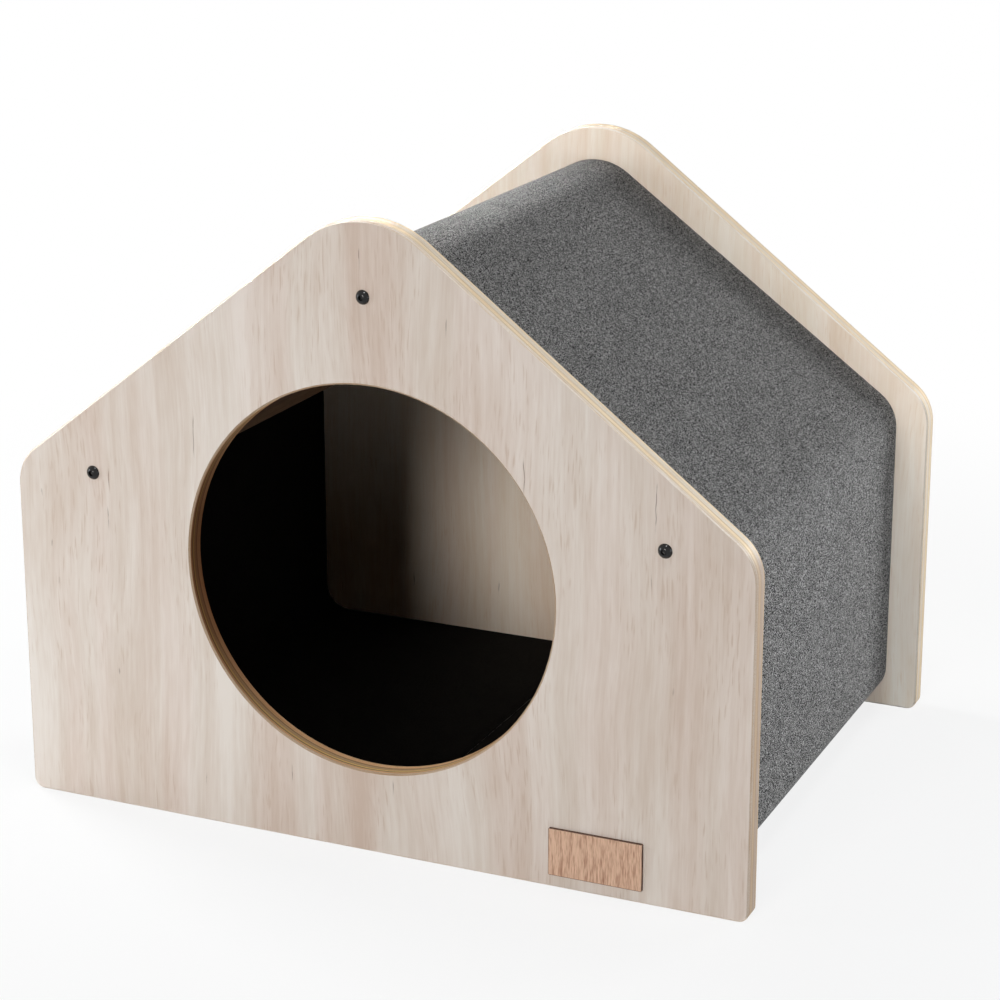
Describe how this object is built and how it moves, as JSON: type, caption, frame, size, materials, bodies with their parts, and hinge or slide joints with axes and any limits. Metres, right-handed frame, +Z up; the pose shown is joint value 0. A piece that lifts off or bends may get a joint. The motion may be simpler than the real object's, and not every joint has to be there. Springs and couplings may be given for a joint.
{
  "type": "pet house",
  "caption": "Gabled pet house: house-shaped wooden end panels, a round entrance in the front one, and a felt sleeve between them as floor, walls and roof, held by screwed rails.",
  "frame": {"origin": "on the ground, under the middle of the house", "axes": "+X to the right seen from the front, +Y from the front panel to the back panel, +Z up"},
  "size_m": [0.52, 0.4054, 0.42],
  "materials": {
    "panel_wood": "pale wood-grain laminate faces, bare plywood edges",
    "rail_wood": "planed, oiled",
    "grey_felt": "mottled grey pressed felt",
    "plate_wood": "thin oiled wood with laser-darkened edges",
    "black_screw": "glossy black",
    "insert_brass": "turned"
  },
  "bodies": {
    "root": {"front_panel": "panel_wood", "back_panel": "panel_wood", "felt_sleeve": "grey_felt", "seam_strip": "grey_felt", "front_plate": "plate_wood", "ridge_rail": "rail_wood", "left_eave_rail": "rail_wood", "right_eave_rail": "rail_wood", "front_ridge_screw": "black_screw", "front_left_screw": "black_screw", "front_right_screw": "black_screw", "back_ridge_screw": "black_screw", "back_left_screw": "black_screw", "back_right_screw": "black_screw", "front_ridge_insert": "insert_brass", "front_left_insert": "insert_brass", "front_right_insert": "insert_brass", "back_ridge_insert": "insert_brass", "back_left_insert": "insert_brass", "back_right_insert": "insert_brass"}
  },
  "joints": []
}
